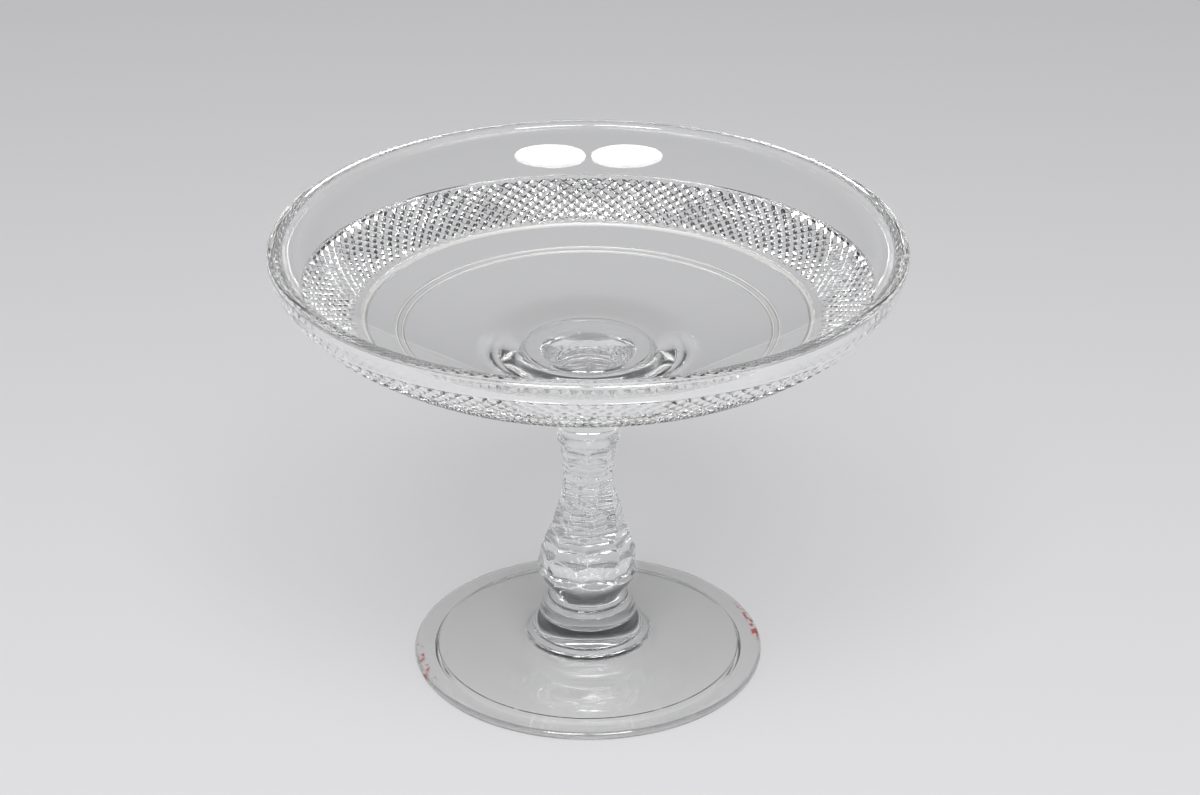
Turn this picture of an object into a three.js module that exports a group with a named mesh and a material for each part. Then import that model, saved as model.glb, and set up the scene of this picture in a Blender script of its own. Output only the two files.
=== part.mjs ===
// Footed fruit bowl of colourless glass with a band of cut diamonds and a facet-cut stem.
// Millimetres, +Z up, origin at the centre of the foot's resting ring on the table.
// The pieces are gathers of glass joined hot, one on another, each at a flat round joint.
import * as THREE from 'three';

// Heights of the pieces, stacked from the table up
const FOOT_HEIGHT = 7.5;
const BASE_WAFER_HEIGHT = 3.2;
const DRUM_HEIGHT = 11.8;
const BEAD_HEIGHT = 2.4;
const STEM_HEIGHT = 92.6;
const TOP_WAFER_HEIGHT = 4.5;
const BOWL_HEIGHT = 48;

// Foot
const FOOT_RADIUS = 65.7;
const FOOT_EDGE = 3.2;
const FOOT_EDGE_ROUND = 1.4;
const FOOT_CROWN_RADIUS = 27;
const FOOT_LINE_INSET = 9.2;
const FOOT_LINE_RISE = 0.95;
const FOOT_LINE_DEPTH = 0.45;
const FOOT_HOLLOW = 2.4;
const FOOT_HOLLOW_EDGE = 1.2;
const REST_RING_WIDTH = 6.5;

// Wafers, drum and bead between foot and stem
const BASE_WAFER_RADIUS = 24;
const DRUM_RADIUS = 20.9;
const DRUM_LIP = 1.4;
const DRUM_SHOULDER = 4.6;
const DRUM_TOP_RADIUS = 15.9;
const DRUM_LINE_DEPTH = 0.35;
const BEAD_RADIUS = 15.3;
const TOP_WAFER_RADIUS = 25;

// Stem: radii of its outline and the heights above its foot where they lie
const STEM_FOOT_RADIUS = 12.4;
const BULB_RADIUS = 19.1;
const BULB_RISE = 12.5;
const SHOULDER_RADIUS = 14.4;
const SHOULDER_RISE = 29.5;
const WAIST_RADIUS = 10.2;
const WAIST_RISE = 46.5;
const NECK_RADIUS = 10.9;
const NECK_RISE = 66;
const COLLAR_RADIUS = 11.7;
const COLLAR_HEIGHT = 4;
const COLLAR_LINE = 0.45;
const CAPITAL_RADIUS = 17.5;

// Facets cut on the stem in staggered rows
const FACETS_AROUND = 10;
const FACET_ROWS = 13;
const FACETS_START = 7.2;
const FACET_HOLLOW = 0.25;

// Bowl
const RIM_RADIUS = 115;
const WALL = 5.8;
const RIM_CROWN = 1.8;
const BOSS_RADIUS = 43;
const BOSS_RISE = 4.6;
const FLOOR_THICKNESS = 9.5;
const FLOOR_RUN = 30;
const FLOOR_ANGLE = 0.085;
const WALL_RUN = 18.7;
const WALL_ANGLE = 1.545;

// Diamond band and ring cuts under the bowl, set in from the rim
const BAND_SETBACK = 10.4;
const BAND_WIDTH = 17.7;
const DIAMONDS_AROUND = 128;
const DIAMOND_ROWS = 5;
const DIAMOND_DEPTH = 1.3;
const BORDER_CUT = 1.1;
const RING_CUT_DEPTH = 0.7;
const BAND_RING_WIDTH = 2.6;
const BAND_RING_GAP = 3;
const PAIR_RING_WIDTH = 1.5;
const PAIR_RING_GAP = 0.8;
const PAIR_SETBACK = 10.6;

// Fineness of the round surfaces
const BOWL_SIDES = DIAMONDS_AROUND / 2;
const STEM_SIDES = FACETS_AROUND * 4;
const FOOT_SIDES = 44;
const BOSS_STEPS = 2;
const HOLLOW_STEPS = 2;
const WALL_STEPS = 4;
const INSIDE_STEPS = 6;
const ARC_STEPS = 4;

// Joint planes
const FOOT_TOP = FOOT_HEIGHT;
const BASE_WAFER_TOP = FOOT_TOP + BASE_WAFER_HEIGHT;
const DRUM_TOP = BASE_WAFER_TOP + DRUM_HEIGHT;
const BEAD_TOP = DRUM_TOP + BEAD_HEIGHT;
const STEM_TOP = BEAD_TOP + STEM_HEIGHT;
const TOP_WAFER_TOP = STEM_TOP + TOP_WAFER_HEIGHT;
const BOWL_TOP = TOP_WAFER_TOP + BOWL_HEIGHT;

/** Collects rings of points and the skin between them into one closed mesh. */
class Skin {
  constructor() {
    this.points = [];
    this.faces = [];
  }

  /** Adds one point at an angle given in turns and returns its number. */
  point(radius, z, turn) {
    const angle = turn * 2 * Math.PI;
    this.points.push(radius * Math.cos(angle), radius * Math.sin(angle), z);
    return this.points.length / 3 - 1;
  }

  /** Adds a level ring; phase is a share of one side. A ring of one side is a point on the axis. */
  ring(radius, z, sides, phase = 0) {
    return Array.from({ length: sides }, (_, i) => this.point(radius, z, (i + phase) / sides));
  }

  face(...corners) {
    this.faces.push(...corners);
  }

  /** Joins two rings, the second further along the outline; counts are equal, 1, or 1 to 2. */
  join(first, second) {
    const sides = Math.max(first.length, second.length);
    const from = (ring, i) => ring[Math.floor((i * ring.length) / sides) % ring.length];
    for (let i = 0; i < sides; i += 1) {
      if (first.length === 1) this.face(first[0], second[(i + 1) % sides], second[i]);
      else if (second.length === 1) this.face(first[i], first[(i + 1) % sides], second[0]);
      else if (first.length === second.length) {
        const next = (i + 1) % sides;
        this.face(first[i], first[next], second[i]);
        this.face(first[next], second[next], second[i]);
      } else this.joinHalf(first, second, from, i, sides);
    }
  }

  /** One side of the finer ring against the coarser one, three faces for each pair of sides. */
  joinHalf(first, second, from, i, sides) {
    const next = (i + 1) % sides;
    const finerFirst = first.length === sides;
    const coarse = finerFirst ? second : first;
    const fine = finerFirst ? first : second;
    const here = from(coarse, i);
    if (finerFirst) this.face(fine[i], fine[next], here);
    else this.face(here, fine[next], fine[i]);
    if (i % 2 === 0) return;
    const there = from(coarse, next);
    if (finerFirst) this.face(fine[next], there, here);
    else this.face(here, there, fine[next]);
  }

  geometry() {
    const geometry = new THREE.BufferGeometry();
    geometry.setAttribute('position', new THREE.Float32BufferAttribute(this.points, 3));
    geometry.setIndex(this.faces);
    return geometry;
  }
}

/** Turned solid from an outline that starts and ends on the axis, listed from the bottom up. */
function turned(outline, sides) {
  const geometry = new THREE.LatheGeometry(outline, sides);
  geometry.rotateX(Math.PI / 2);
  return geometry;
}

/** Points of an elliptical arc in the outline's plane, angles in degrees from the outward side. */
function arc(centreR, centreZ, radiusR, radiusZ, fromDegrees, toDegrees, steps = ARC_STEPS) {
  return Array.from({ length: steps + 1 }, (_, i) => {
    const angle = THREE.MathUtils.degToRad(fromDegrees + ((toDegrees - fromDegrees) * i) / steps);
    return new THREE.Vector2(centreR + radiusR * Math.cos(angle), centreZ + radiusZ * Math.sin(angle));
  });
}

const at = (radius, z) => new THREE.Vector2(radius, z);

/** Disc of glass with a rounded edge between two joint planes. */
function roundedDisc(radius, bottom, top) {
  const half = (top - bottom) / 2;
  const edge = arc(radius - half, bottom + half, half, half, -90, 90);
  return turned([at(0, bottom), ...edge, at(0, top)], STEM_SIDES);
}

/** Foot: resting ring, hollow underside, rounded edge, a line near it and a slope to the crown. */
function footGeometry() {
  const ringOuter = FOOT_RADIUS - FOOT_EDGE_ROUND;
  const ringInner = ringOuter - REST_RING_WIDTH;
  const line = FOOT_RADIUS - FOOT_LINE_INSET;
  const lineTop = FOOT_EDGE + FOOT_LINE_RISE;
  const slope = new THREE.QuadraticBezierCurve(
    at(line - FOOT_LINE_DEPTH, lineTop),
    at((line + FOOT_CROWN_RADIUS) / 2, (lineTop + FOOT_TOP) / 2 - FOOT_LINE_DEPTH),
    at(FOOT_CROWN_RADIUS, FOOT_TOP),
  );
  const hollow = new THREE.QuadraticBezierCurve(
    at(0, FOOT_HOLLOW),
    at(ringInner / 2, FOOT_HOLLOW),
    at(ringInner - FOOT_HOLLOW_EDGE, FOOT_HOLLOW_EDGE),
  );
  const outline = [
    ...hollow.getPoints(HOLLOW_STEPS),
    at(ringInner, 0),
    ...arc(ringOuter, FOOT_EDGE / 2, FOOT_EDGE_ROUND, FOOT_EDGE / 2, -90, 90),
    at(line + FOOT_LINE_DEPTH, lineTop - FOOT_LINE_DEPTH / 2),
    ...slope.getPoints(ARC_STEPS - 1),
    at(0, FOOT_TOP),
  ];
  return turned(outline, FOOT_SIDES);
}

/** Drum: sharp lip at the bottom, straight side with one cut line, shoulder drawn in to the bead. */
function drumGeometry() {
  const bottom = BASE_WAFER_TOP;
  const lipTop = bottom + DRUM_LIP;
  const shoulderStart = DRUM_TOP - DRUM_SHOULDER;
  const middle = (lipTop + shoulderStart) / 2;
  const side = DRUM_RADIUS - DRUM_LIP / 2;
  const shoulder = new THREE.CubicBezierCurve(
    at(side, shoulderStart),
    at(side, shoulderStart + DRUM_SHOULDER / 2),
    at(DRUM_TOP_RADIUS + DRUM_SHOULDER / 2, DRUM_TOP),
    at(DRUM_TOP_RADIUS, DRUM_TOP),
  );
  return turned([
    at(0, bottom),
    at(side, bottom),
    at(DRUM_RADIUS, bottom + DRUM_LIP / 2),
    at(side, lipTop),
    at(side, middle - DRUM_LINE_DEPTH),
    at(side - DRUM_LINE_DEPTH, middle),
    at(side, middle + DRUM_LINE_DEPTH),
    ...shoulder.getPoints(ARC_STEPS),
    at(0, DRUM_TOP),
  ], STEM_SIDES);
}

/** Outline of the stem's facet-cut length as a smooth curve of radius against height. */
function balusterOutline() {
  return new THREE.SplineCurve([
    at(STEM_FOOT_RADIUS, BEAD_TOP),
    at(BULB_RADIUS, BEAD_TOP + BULB_RISE),
    at(SHOULDER_RADIUS, BEAD_TOP + SHOULDER_RISE),
    at(WAIST_RADIUS, BEAD_TOP + WAIST_RISE),
    at(NECK_RADIUS, BEAD_TOP + NECK_RISE),
  ]);
}

/** Radius of an outline at a height, found by halving the step along the rising curve. */
function radiusAtHeight(curve, z) {
  let low = 0;
  let high = 1;
  while (high - low > 1e-7) {
    const middle = (low + high) / 2;
    if (curve.getPoint(middle).y < z) low = middle;
    else high = middle;
  }
  return curve.getPoint(low).x;
}

/**
 * Stem: a smooth bulb foot, a lattice of staggered hollow facets up to the neck, a plain collar
 * and a capital that flares to the wafer under the bowl.
 */
function stemGeometry() {
  const skin = new Skin();
  const outline = balusterOutline();
  const facetsBottom = BEAD_TOP + FACETS_START;
  const facetsTop = BEAD_TOP + NECK_RISE;
  const rowHeight = (facetsTop - facetsBottom) / FACET_ROWS;
  const facetTurn = 1 / FACETS_AROUND;
  const flat = Math.cos(Math.PI / FACETS_AROUND);

  let last = skin.ring(0, BEAD_TOP, 1);
  const grow = (radius, z, sides) => {
    const next = skin.ring(radius, z, sides);
    skin.join(last, next);
    last = next;
  };
  const footSteps = 2;
  for (let i = 0; i < footSteps; i += 1) {
    const z = BEAD_TOP + (FACETS_START * i) / footSteps;
    grow(radiusAtHeight(outline, z), z, STEM_SIDES);
  }
  grow(radiusAtHeight(outline, facetsBottom), facetsBottom, FACETS_AROUND * 2);

  for (let row = 0; row < FACET_ROWS; row += 1) {
    const top = facetsBottom + (row + 1) * rowHeight;
    const middle = top - rowHeight / 2;
    const above = skin.ring(radiusAtHeight(outline, top), top, FACETS_AROUND * 2);
    const radius = radiusAtHeight(outline, middle);
    const stagger = row % 2;
    const ridges = skin.ring(radius, middle, FACETS_AROUND, stagger / 2);
    const count = FACETS_AROUND * 2;
    for (let facet = 0; facet < FACETS_AROUND; facet += 1) {
      const left = (facet * 2 + stagger) % count;
      const centre = (left + 1) % count;
      const right = (left + 2) % count;
      const nextRidge = ridges[(facet + 1) % FACETS_AROUND];
      const hub = skin.point(radius * flat - FACET_HOLLOW, middle, (facet + (stagger + 1) / 2) * facetTurn);
      const border = [
        last[left], last[centre], last[right], nextRidge,
        above[right], above[centre], above[left], ridges[facet],
      ];
      border.forEach((corner, i) => skin.face(corner, border[(i + 1) % border.length], hub));
    }
    last = above;
  }

  const collarTop = facetsTop + COLLAR_HEIGHT + COLLAR_LINE * 2;
  grow(COLLAR_RADIUS, facetsTop + COLLAR_LINE, STEM_SIDES);
  grow(COLLAR_RADIUS, collarTop - COLLAR_LINE * 2, STEM_SIDES);
  grow(COLLAR_RADIUS - COLLAR_LINE, collarTop - COLLAR_LINE, STEM_SIDES);
  grow(COLLAR_RADIUS, collarTop, STEM_SIDES);
  const flare = new THREE.QuadraticBezierCurve(
    at(COLLAR_RADIUS, collarTop),
    at(COLLAR_RADIUS, (collarTop + STEM_TOP) / 2),
    at(CAPITAL_RADIUS, STEM_TOP),
  );
  flare.getPoints(ARC_STEPS).slice(1).forEach((p) => grow(p.x, p.y, STEM_SIDES));
  grow(0, STEM_TOP, 1);
  return skin.geometry();
}

/** Outer line of the bowl from the edge of its boss to the rim, before any cut. */
function bowlOutline() {
  const start = at(BOSS_RADIUS, TOP_WAFER_TOP + BOSS_RISE);
  const end = at(RIM_RADIUS, BOWL_TOP - RIM_CROWN);
  const floorHandle = at(FLOOR_RUN * Math.cos(FLOOR_ANGLE), FLOOR_RUN * Math.sin(FLOOR_ANGLE));
  const wallHandle = at(WALL_RUN * Math.cos(WALL_ANGLE), WALL_RUN * Math.sin(WALL_ANGLE));
  return new THREE.CubicBezierCurve(start, start.clone().add(floorHandle), end.clone().sub(wallHandle), end);
}

/** Share of the outline's length at which it reaches a radius. */
function shareAtRadius(outline, radius) {
  let low = 0;
  let high = 1;
  while (high - low > 1e-7) {
    const middle = (low + high) / 2;
    if (outline.getPointAt(middle).x < radius) low = middle;
    else high = middle;
  }
  return low;
}

/** Point of the bowl's outline moved square to it, inwards by a depth. */
function inset(outline, share, depth) {
  const point = outline.getPointAt(share);
  const tangent = outline.getTangentAt(share);
  return at(point.x - tangent.y * depth, point.y + tangent.x * depth);
}

/** Rings that cut one groove round the outline, given as shares of its length. */
function grooveRings(outline, radius, width, depth) {
  const centre = shareAtRadius(outline, radius);
  const half = width / 2 / outline.getLength();
  return [inset(outline, centre - half, 0), inset(outline, centre, depth), inset(outline, centre + half, 0)];
}

/**
 * Band of diamonds between two shares of the outline. Two sets of slanting V cuts cross at the
 * lattice points, at full depth, and leave a four-sided point of uncut glass in every mesh.
 * Returns the border rings below and above the band.
 */
function diamondBand(skin, outline, bottomShare, topShare) {
  const halfRows = DIAMOND_ROWS * 2;
  const count = DIAMONDS_AROUND;
  const border = BORDER_CUT / outline.getLength();
  const shareOf = (row) => THREE.MathUtils.lerp(bottomShare, topShare, row / halfRows);
  const crossings = Array.from({ length: halfRows + 1 }, (_, row) => {
    const p = inset(outline, shareOf(row), DIAMOND_DEPTH);
    return skin.ring(p.x, p.y, count, (row % 2) / 2);
  });
  const lower = inset(outline, bottomShare - border, DIAMOND_DEPTH);
  const upper = inset(outline, topShare + border, DIAMOND_DEPTH);
  const below = skin.ring(lower.x, lower.y, count);
  const above = skin.ring(upper.x, upper.y, count);

  for (let row = 0; row <= halfRows; row += 1) {
    const p = inset(outline, shareOf(row), 0);
    const stagger = row % 2;
    for (let i = 0; i < count; i += 1) {
      const next = (i + 1) % count;
      const tip = skin.point(p.x, p.y, (i + (stagger + 1) / 2) / count);
      const left = crossings[row][i];
      const right = crossings[row][next];
      const beside = stagger ? next : i;
      if (row > 0) {
        const bottom = crossings[row - 1][beside];
        skin.face(left, bottom, tip);
        skin.face(bottom, right, tip);
      } else {
        skin.face(below[i], below[next], tip);
        skin.face(below[i], tip, left);
        skin.face(below[next], right, tip);
      }
      if (row < halfRows) {
        const top = crossings[row + 1][beside];
        skin.face(right, top, tip);
        skin.face(top, left, tip);
      } else {
        skin.face(left, tip, above[i]);
        skin.face(tip, right, above[next]);
        skin.face(tip, above[next], above[i]);
      }
    }
  }
  return { below, above };
}

/** Bowl: flat joint disc, boss, floor with ring cuts, diamond band, plain wall, rim and inside. */
function bowlGeometry() {
  const skin = new Skin();
  const outline = bowlOutline();
  const length = outline.getLength();
  const bandTopRadius = RIM_RADIUS - BAND_SETBACK;
  const bandBottomRadius = bandTopRadius - BAND_WIDTH;
  const bandRingRadius = bandBottomRadius - BAND_RING_GAP - BAND_RING_WIDTH / 2;
  const pairOuterRadius = bandRingRadius - BAND_RING_WIDTH / 2 - PAIR_SETBACK;
  const pairInnerRadius = pairOuterRadius - PAIR_RING_WIDTH - PAIR_RING_GAP;

  let last = skin.ring(0, TOP_WAFER_TOP, 1);
  const grow = (p, sides = BOWL_SIDES) => {
    const next = skin.ring(p.x, p.y, sides);
    skin.join(last, next);
    last = next;
  };
  const bossStart = at(TOP_WAFER_RADIUS, TOP_WAFER_TOP);
  const bossEnd = outline.getPointAt(0);
  const floorSlope = outline.getTangentAt(0).multiplyScalar((bossEnd.x - bossStart.x) / 2);
  const boss = new THREE.QuadraticBezierCurve(bossStart, bossEnd.clone().sub(floorSlope), bossEnd);
  grow(at(TOP_WAFER_RADIUS - TOP_WAFER_HEIGHT / 2, TOP_WAFER_TOP));
  boss.getPoints(BOSS_STEPS).forEach((p) => grow(p));
  grooveRings(outline, pairInnerRadius, PAIR_RING_WIDTH, RING_CUT_DEPTH).forEach((p) => grow(p));
  grooveRings(outline, pairOuterRadius, PAIR_RING_WIDTH, RING_CUT_DEPTH).forEach((p) => grow(p));
  grooveRings(outline, bandRingRadius, BAND_RING_WIDTH, RING_CUT_DEPTH).forEach((p) => grow(p));

  const bottomShare = shareAtRadius(outline, bandBottomRadius);
  const topShare = shareAtRadius(outline, bandTopRadius);
  const run = (2 * BORDER_CUT) / length;
  grow(inset(outline, bottomShare - run, 0));
  const band = diamondBand(skin, outline, bottomShare, topShare);
  skin.join(last, band.below);
  last = band.above;
  for (let i = 0; i <= WALL_STEPS; i += 1) {
    grow(outline.getPointAt(THREE.MathUtils.lerp(topShare + run, 1, i / WALL_STEPS)));
  }
  const rimOuter = outline.getPointAt(1);
  const rimInner = inset(outline, 1, WALL);
  const rimCentre = rimOuter.clone().add(rimInner).multiplyScalar(1 / 2);
  const crown = BOWL_TOP - rimCentre.y;
  arc(rimCentre.x, rimCentre.y, WALL / 2, crown, 0, 180).slice(1, -1).forEach((p) => grow(p));
  for (let i = 0; i <= INSIDE_STEPS; i += 1) {
    grow(inset(outline, 1 - i / INSIDE_STEPS, WALL));
  }
  grow(at(BOSS_RADIUS / 2, TOP_WAFER_TOP + FLOOR_THICKNESS));
  grow(at(0, TOP_WAFER_TOP + FLOOR_THICKNESS), 1);
  return skin.geometry();
}

const glass = (tint) => new THREE.MeshStandardMaterial({
  color: tint, roughness: 0.04, metalness: 0, transparent: true, opacity: 0.45,
});

/** Adds one named piece of glass to the bowl's group. */
function addPiece(group, name, geometry, tint) {
  const mesh = new THREE.Mesh(geometry, glass(tint));
  mesh.name = name;
  group.add(mesh);
}

const fruitBowl = new THREE.Group();
addPiece(fruitBowl, 'foot', footGeometry(), 0xdde1df);
addPiece(fruitBowl, 'base_wafer', roundedDisc(BASE_WAFER_RADIUS, FOOT_TOP, BASE_WAFER_TOP), 0xe2e5e4);
addPiece(fruitBowl, 'drum_collar', drumGeometry(), 0xdfe2e0);
addPiece(fruitBowl, 'neck_bead', roundedDisc(BEAD_RADIUS, DRUM_TOP, BEAD_TOP), 0xe2e5e4);
addPiece(fruitBowl, 'faceted_stem', stemGeometry(), 0xe4e7e7);
addPiece(fruitBowl, 'bowl_wafer', roundedDisc(TOP_WAFER_RADIUS, STEM_TOP, TOP_WAFER_TOP), 0xe2e5e4);
addPiece(fruitBowl, 'bowl', bowlGeometry(), 0xdadedb);

export default fruitBowl;
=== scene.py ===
"""Footed fruit bowl of colourless glass with a diamond-cut band and a facet-cut stem.

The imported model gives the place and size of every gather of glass. This script turns and cuts each one
again in fine mesh, gives it its polished, ground or worn finish, and sets the bowl on a pale floor.
Lengths are metres, +Z is up, and the origin is under the middle of the foot.
"""

import logging
import math
import random
from collections.abc import Callable, Iterable, Iterator
from dataclasses import dataclass, field
from enum import Enum
from functools import reduce
from itertools import pairwise

import bpy
import numpy as np
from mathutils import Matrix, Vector


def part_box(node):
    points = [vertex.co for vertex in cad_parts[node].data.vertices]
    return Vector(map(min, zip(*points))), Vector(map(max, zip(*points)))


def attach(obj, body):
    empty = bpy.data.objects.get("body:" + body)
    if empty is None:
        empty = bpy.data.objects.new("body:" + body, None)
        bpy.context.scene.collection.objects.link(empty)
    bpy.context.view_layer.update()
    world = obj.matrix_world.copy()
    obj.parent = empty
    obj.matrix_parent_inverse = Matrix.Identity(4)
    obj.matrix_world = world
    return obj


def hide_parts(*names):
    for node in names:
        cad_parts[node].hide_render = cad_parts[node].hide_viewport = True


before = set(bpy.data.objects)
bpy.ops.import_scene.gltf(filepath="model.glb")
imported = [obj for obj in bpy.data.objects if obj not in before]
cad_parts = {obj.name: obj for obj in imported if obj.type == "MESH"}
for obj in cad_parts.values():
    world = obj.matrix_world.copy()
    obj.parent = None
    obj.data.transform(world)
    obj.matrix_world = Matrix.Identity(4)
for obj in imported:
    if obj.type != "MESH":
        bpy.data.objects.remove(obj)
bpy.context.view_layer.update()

MM = 0.001
FULL_TURN = 2 * math.pi
MERGE_DISTANCE = 0.012 * MM
SECTORS = 16
SHARP_ANGLE = math.radians(24)
TOUCH = 0.01 * MM
GLASS_INDEX = 1.54
FRONT_DEGREES = -90

Piece = bpy.types.Object
Socket = bpy.types.NodeSocket
Tree = bpy.types.NodeTree
Material = bpy.types.Material
Array = np.ndarray
Pair = tuple[float, float]
Triple = tuple[float, float, float]
Inputs = dict[str | int, Socket | float | tuple[float, ...]]

log = logging.getLogger("fruit_bowl")


class Face(Enum):
    """Kinds of surface on a gather of glass, in the order of its material slots."""

    POLISHED = 0
    JOINT = 1
    CUT = 2
    GROUND = 3


class Slot(Enum):
    """Material slots of the record."""

    BOWL = "bowl_glass"
    STEM = "stem_glass"
    FOOT = "foot_glass"


# Outlines


def cubic(share: Array | float, start: Array, leave: Array, arrive: Array, end: Array) -> Array:
    """Works out points of a cubic curve.

    Args:
        share: Share of the curve's run at each point.
        start: Where the curve starts.
        leave: Handle at the start.
        arrive: Handle at the end.
        end: Where the curve ends.

    Returns:
        The points.
    """
    rest = 1 - share
    first, second = 3 * rest * rest * share, 3 * rest * share * share
    return rest**3 * start + first * leave + second * arrive + share**3 * end


class Outline:
    """Half outline of a turned form: radius and height of its points, in metres."""

    def __init__(self, radius: float, height: float) -> None:
        """Starts the outline at one point."""
        self.points: list[Pair] = [(radius, height)]

    def to(self, radius: float, height: float) -> "Outline":
        """Draws a straight stretch to a point."""
        self.points.append((radius, height))
        return self

    def through(self, points: Iterable[Pair]) -> "Outline":
        """Draws on through a run of points."""
        self.points.extend((float(radius), float(height)) for radius, height in points)
        return self

    def round(self, end: Pair, bulge: Pair, steps: int = 8) -> "Outline":
        """Draws a quarter-round stretch.

        Args:
            end: Where the stretch ends.
            bulge: The corner that the round takes off.
            steps: How many short lines make it.

        Returns:
            The outline itself.
        """
        start = np.array(self.points[-1])
        corner, stop = np.array(bulge), np.array(end)
        for i in range(1, steps + 1):
            turn = i / steps * math.pi / 2
            back, on = 1 - math.sin(turn), 1 - math.cos(turn)
            self.through([corner + (start - corner) * back + (stop - corner) * on])
        return self

    def curve(self, leave: Pair, arrive: Pair, end: Pair, steps: int = 12) -> "Outline":
        """Draws a cubic curve on from the last point.

        Args:
            leave: Handle at the start, as a point.
            arrive: Handle at the end, as a point.
            end: Where the curve ends.
            steps: How many short lines make it.

        Returns:
            The outline itself.
        """
        spots = [np.array(spot) for spot in (self.points[-1], leave, arrive, end)]
        for i in range(1, steps + 1):
            self.through([cubic(i / steps, *spots)])
        return self


class WallCurve:
    """Outer line of the bowl from the edge of its boss to the rim, measured along its length."""

    SAMPLES = 4001

    def __init__(self, start: Array, leave: Array, arrive: Array, end: Array) -> None:
        """Samples the cubic curve finely, so that lengths and radii can be looked up on it."""
        self.path = cubic(np.linspace(0, 1, self.SAMPLES)[:, None], start, leave, arrive, end)
        steps = np.linalg.norm(np.diff(self.path, axis=0), axis=1)
        self.lengths = np.concatenate([[0], np.cumsum(steps)])
        slopes = np.gradient(self.path, self.lengths, axis=0)
        self.slopes = slopes / np.linalg.norm(slopes, axis=1)[:, None]
        self.length = float(self.lengths[-1])

    def inset(self, length: Array | float, depth: Array | float) -> tuple[Array, Array]:
        """Points square inwards from the curve.

        Args:
            length: Lengths along the curve.
            depth: How far in from it.

        Returns:
            Radii and heights of the points.
        """
        radius = np.interp(length, self.lengths, self.path[:, 0])
        height = np.interp(length, self.lengths, self.path[:, 1])
        run = np.interp(length, self.lengths, self.slopes[:, 0])
        rise = np.interp(length, self.lengths, self.slopes[:, 1])
        return radius - rise * depth, height + run * depth

    def at_radius(self, radius: Array | float) -> Array:
        """Lengths at which the curve has these radii."""
        return np.interp(radius, self.path[:, 0], self.lengths)

    def radius_at(self, length: Array | float) -> Array:
        """Radii of the curve at these lengths."""
        return np.interp(length, self.lengths, self.path[:, 0])

    def points(self, start: float, stop: float, steps: int, depth: float = 0) -> list[Pair]:
        """Evenly spaced points of the curve or of a line inside it.

        Args:
            start: Length where the run starts.
            stop: Length where it stops.
            steps: How many stretches it has.
            depth: How far in from the curve it runs.

        Returns:
            Radius and height of each point, without the first.
        """
        lengths = np.linspace(start, stop, steps + 1)[1:]
        return list(zip(*self.inset(lengths, depth)))


# Workbench: what every piece is made with


def pick(*pieces: Piece) -> None:
    """Selects these pieces and nothing else, the first one active."""
    bpy.ops.object.select_all(action="DESELECT")
    for piece in pieces:
        piece.select_set(True)
    bpy.context.view_layer.objects.active = pieces[0]


def start_edit(piece: Piece) -> None:
    """Opens one piece for editing with all of it selected and nothing else."""
    pick(piece)
    bpy.ops.object.mode_set(mode="EDIT")
    bpy.ops.mesh.select_mode(type="VERT")
    bpy.ops.mesh.select_all(action="SELECT")


def end_edit() -> None:
    """Goes back to object mode."""
    bpy.ops.object.mode_set(mode="OBJECT")


def name_piece(piece: Piece, name: str) -> Piece:
    """Names a piece and its mesh."""
    piece.name = name
    piece.data.name = name
    return piece


def turned(name: str, outline: Outline, columns: int) -> Piece:
    """Turns an outline about the upright axis, as on a lathe.

    Args:
        name: Name of the new piece.
        outline: Its half outline.
        columns: How many columns go round it.

    Returns:
        The turned piece, open where the outline is.
    """
    bpy.ops.object.select_all(action="DESELECT")
    bpy.ops.mesh.primitive_plane_add(size=MM)
    piece = name_piece(bpy.context.object, name)
    start_edit(piece)
    bpy.ops.mesh.merge(type="CENTER")
    radius, height = outline.points[0]
    bpy.ops.transform.translate(value=(radius, 0, height))
    for before, after in pairwise(outline.points):
        step = (after[0] - before[0], 0, after[1] - before[1])
        bpy.ops.mesh.extrude_region_move(TRANSFORM_OT_translate={"value": step})
    bpy.ops.mesh.select_all(action="SELECT")
    sector = FULL_TURN / SECTORS
    bpy.ops.mesh.spin(steps=columns // SECTORS, angle=sector, center=(0, 0, 0), axis=(0, 0, 1))
    bpy.ops.mesh.select_all(action="SELECT")
    copies = SECTORS - 1
    bpy.ops.mesh.spin(steps=copies, dupli=True, angle=sector * copies, center=(0, 0, 0), axis=(0, 0, 1))
    end_edit()
    return piece


def joined(name: str, pieces: list[Piece]) -> Piece:
    """Joins parts of one gather into one closed mesh.

    Args:
        name: Name of the joined piece.
        pieces: Its parts, whose borders meet.

    Returns:
        The closed piece.
    """
    pick(*pieces)
    if len(pieces) > 1:
        bpy.ops.object.join()
    piece = name_piece(bpy.context.object, name)
    start_edit(piece)
    bpy.ops.mesh.remove_doubles(threshold=MERGE_DISTANCE)
    bpy.ops.mesh.select_all(action="SELECT")
    bpy.ops.mesh.normals_make_consistent(inside=False)
    end_edit()
    return piece


def points_of(piece: Piece) -> Array:
    """Places of a mesh's points, one row each."""
    places = np.zeros(len(piece.data.vertices) * 3)
    piece.data.vertices.foreach_get("co", places)
    return places.reshape(-1, 3)


def move_points(piece: Piece, places: Array) -> None:
    """Puts a mesh's points at new places."""
    piece.data.vertices.foreach_set("co", np.ascontiguousarray(places, dtype=np.float32).ravel())
    piece.data.update()


def mark(piece: Piece, kind: Face, test: Callable[[Vector], bool]) -> None:
    """Gives some faces of a piece their kind of surface.

    Args:
        piece: The piece.
        kind: The kind of surface.
        test: Whether a face with this centre gets it.
    """
    for polygon in piece.data.polygons:
        if test(polygon.center):
            polygon.material_index = kind.value


def mark_joint(piece: Piece, height: float, radius: float) -> None:
    """Marks the flat disc where one gather is fused to the next."""
    mark(piece, Face.JOINT, lambda c: abs(c.z - height) < TOUCH and math.hypot(c.x, c.y) < radius)


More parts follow.
